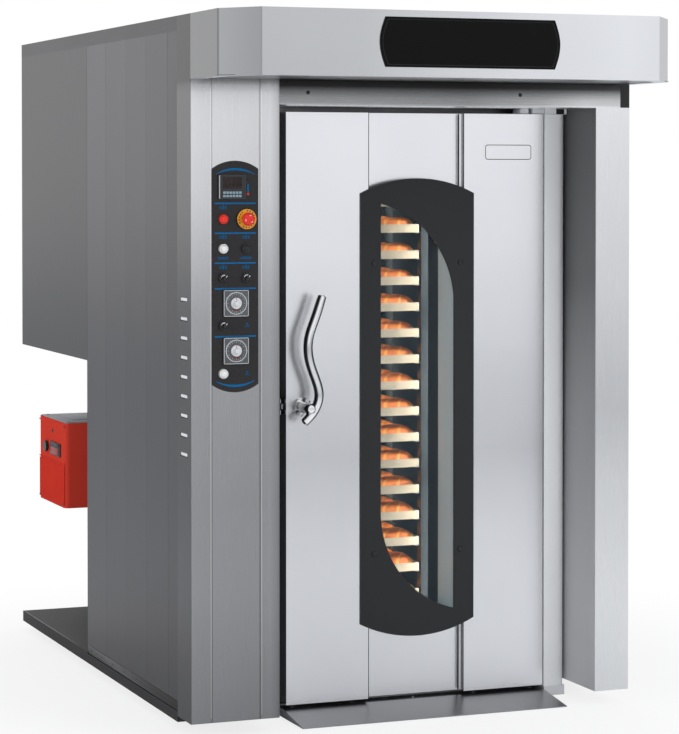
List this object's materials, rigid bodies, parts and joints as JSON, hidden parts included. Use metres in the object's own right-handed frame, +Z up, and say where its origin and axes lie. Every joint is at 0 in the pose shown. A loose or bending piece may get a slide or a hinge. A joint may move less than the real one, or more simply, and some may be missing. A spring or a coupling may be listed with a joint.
{
  "type": "rotating rack oven",
  "caption": "Stainless rotating rack oven: canopy, windowed hinged door, control column, turning rack of bread trays, burner in a rear side bay.",
  "frame": {"origin": "middle of the bounding box's footprint, on the floor", "axes": "+X to the hinge side (the viewer's right), +Y from the door to the rear, +Z up"},
  "size_m": [1.46, 2.384, 2.16],
  "materials": {
    "base_steel": "brushed stainless sheet, worn near the floor",
    "zinc": "bright zinc plating",
    "slab_steel": "dull stainless sheet",
    "ramp_steel": "brushed stainless with scuffs",
    "column_steel": "brushed stainless, grain upright",
    "lintel_steel": "brushed stainless, grain level",
    "canopy_steel": "brushed stainless, grain level",
    "badge_black": "glossy black plate, bare",
    "side_steel": "dark brushed stainless cassettes",
    "trim_steel": "dark satin strip",
    "roof_steel": "galvanised sheet",
    "jamb_dark": "dark satin enamel",
    "chamber_steel": "polished stainless, heat tinted",
    "mineral_wool": "pressed mineral fibre",
    "pivot_steel": "light enamel",
    "panel_black": "glossy printed front foil",
    "instrument_black": "fine-grained housing",
    "chrome": "polished chrome",
    "stop_yellow": "moulded disc",
    "furnace_steel": "scaled heat-resisting steel",
    "motor_blue": "hammered enamel",
    "steam_iron": "raw casting",
    "burner_iron": "raw casting",
    "gas_brass": "turned brass",
    "burner_red": "gloss red enamel",
    "collar_steel": "rolled stainless",
    "gearmotor_alloy": "painted light alloy",
    "door_steel": "brushed stainless, grain upright",
    "seal_rubber": "silicone hose",
    "window_charcoal": "satin charcoal enamel",
    "window_glass": "heat-resisting flat glass",
    "tunnel_steel": "polished stainless",
    "bolt_black": "blackened steel",
    "handle_chrome": "polished chrome",
    "latch_steel": "ground steel",
    "stop_red": "moulded mushroom head",
    "button_red": "translucent cap",
    "button_white": "moulded cap",
    "button_black": "moulded cap",
    "selector_black": "moulded knob with a pale pointer",
    "knob_grey": "moulded knob",
    "fan_steel": "stamped stainless blades",
    "rack_steel": "welded stainless tube",
    "turntable_steel": "turned steel disc",
    "tray_metal": "seasoned aluminium sheet",
    "bread_crust": null,
    "wheel_rubber": "heat-resisting wheel"
  },
  "bodies": {
    "cabinet": {"base_frame": "base_steel", "levelling_feet": "zinc", "floor_slab": "slab_steel", "entry_ramp": "ramp_steel", "left_column": "column_steel", "right_column": "column_steel", "lintel": "lintel_steel", "canopy_shell": "canopy_steel", "badge_plate": "badge_black", "side_panels_left": "side_steel", "side_panels_right": "side_steel", "top_trim_rails": "trim_steel", "roof_plate": "roof_steel", "rear_casing_panels": "side_steel", "door_jambs": "jamb_dark", "chamber_walls": "chamber_steel", "insulation_boards": "mineral_wool", "pivot_blocks": "pivot_steel", "control_panel": "panel_black", "panel_instruments": "instrument_black", "switch_bezels": "chrome", "stop_disc": "stop_yellow", "combustion_chamber": "furnace_steel", "furnace_ends": "furnace_steel", "furnace_fittings": "furnace_steel", "exchanger_headers": "furnace_steel", "exchanger_tubes": "furnace_steel", "flue_pipe": "furnace_steel", "latch_keeper": "jamb_dark", "fan_motor": "motor_blue", "steam_generator": "steam_iron", "burner": "burner_red", "burner_flange": "burner_iron", "gas_stub": "gas_brass", "roof_collars": "collar_steel", "gearmotor": "gearmotor_alloy"},
    "door": {"door_skin": "door_steel", "door_inner_panel": "chamber_steel", "door_insulation": "mineral_wool", "door_seal": "seal_rubber", "window_plate": "window_charcoal", "window_glass": "window_glass", "window_tunnel": "tunnel_steel", "window_bolts": "bolt_black", "hinge_post": "door_steel", "latch_housing": "handle_chrome"},
    "handle": {"handle_lever": "handle_chrome"},
    "latch": {"latch_bolt": "latch_steel"},
    "emergency_stop": {"stop_head": "stop_red"},
    "start_button": {"start_button": "button_red"},
    "light_button": {"light_button": "button_white"},
    "steam_button": {"steam_button": "button_black"},
    "bell_button": {"bell_button": "button_white"},
    "selector_1": {"selector_1": "selector_black"},
    "selector_2": {"selector_2": "selector_black"},
    "selector_3": {"selector_3": "selector_black"},
    "timer_knob_1": {"timer_knob_1": "knob_grey"},
    "timer_knob_2": {"timer_knob_2": "knob_grey"},
    "fan": {"fan_impeller": "fan_steel"},
    "rack": {"rack_shaft": "rack_steel", "turntable": "turntable_steel", "rack_frame": "rack_steel", "rack_trays": "tray_metal", "bread_loaves": "bread_crust", "caster_forks": "zinc", "caster_wheels": "wheel_rubber"},
    "burner_reset": {"burner_reset": "button_black"}
  },
  "joints": [
    {"name": "door_swing", "type": "hinge", "parent": "cabinet", "child": "door", "pos_m": [0.577, -0.59, 0.95], "axis": [0, 0, 1], "range_deg": [0, 90]},
    {"name": "handle_turn", "type": "hinge", "parent": "door", "child": "handle", "pos_m": [-0.303, -0.62, 0.962], "axis": [0, 1, 0], "range_deg": [-20, 40]},
    {"name": "latch_slide", "type": "slide", "parent": "door", "child": "latch", "axis": [-1, 0, 0], "range_m": [-0.026, 0.013]},
    {"name": "emergency_stop_push", "type": "slide", "parent": "cabinet", "child": "emergency_stop", "axis": [0, 1, 0], "range_m": [0, 0.006]},
    {"name": "start_button_push", "type": "slide", "parent": "cabinet", "child": "start_button", "axis": [0, 1, 0], "range_m": [0, 0.004], "stiffness_N_per_m": 500},
    {"name": "light_button_push", "type": "slide", "parent": "cabinet", "child": "light_button", "axis": [0, 1, 0], "range_m": [0, 0.004], "stiffness_N_per_m": 500},
    {"name": "steam_button_push", "type": "slide", "parent": "cabinet", "child": "steam_button", "axis": [0, 1, 0], "range_m": [0, 0.004], "stiffness_N_per_m": 500},
    {"name": "bell_button_push", "type": "slide", "parent": "cabinet", "child": "bell_button", "axis": [0, 1, 0], "range_m": [0, 0.004], "stiffness_N_per_m": 500},
    {"name": "selector_1_turn", "type": "hinge", "parent": "cabinet", "child": "selector_1", "pos_m": [-0.629, -0.818, 1.375], "axis": [0, 1, 0], "range_deg": [0, 60]},
    {"name": "selector_2_turn", "type": "hinge", "parent": "cabinet", "child": "selector_2", "pos_m": [-0.557, -0.818, 1.375], "axis": [0, 1, 0], "range_deg": [0, 60]},
    {"name": "selector_3_turn", "type": "hinge", "parent": "cabinet", "child": "selector_3", "pos_m": [-0.629, -0.818, 1.233], "axis": [0, 1, 0], "range_deg": [0, 60]},
    {"name": "timer_knob_1_turn", "type": "hinge", "parent": "cabinet", "child": "timer_knob_1", "pos_m": [-0.59, -0.818, 1.299], "axis": [0, 1, 0], "range_deg": [0, 300]},
    {"name": "timer_knob_2_turn", "type": "hinge", "parent": "cabinet", "child": "timer_knob_2", "pos_m": [-0.59, -0.818, 1.157], "axis": [0, 1, 0], "range_deg": [0, 300]},
    {"name": "fan_spin", "type": "hinge", "parent": "cabinet", "child": "fan", "pos_m": [0, 0.482, 1.64], "axis": [0, 1, 0], "continuous": true},
    {"name": "rack_spin", "type": "hinge", "parent": "cabinet", "child": "rack", "pos_m": [0, -0.073, 1], "axis": [0, 0, 1], "continuous": true},
    {"name": "burner_reset_push", "type": "slide", "parent": "cabinet", "child": "burner_reset", "axis": [1, 0, 0], "range_m": [0, 0.004], "stiffness_N_per_m": 500}
  ],
  "couplings": [
    {"joint": "latch_slide", "follows": "handle_turn", "m_per_rad": -0.0344}
  ]
}
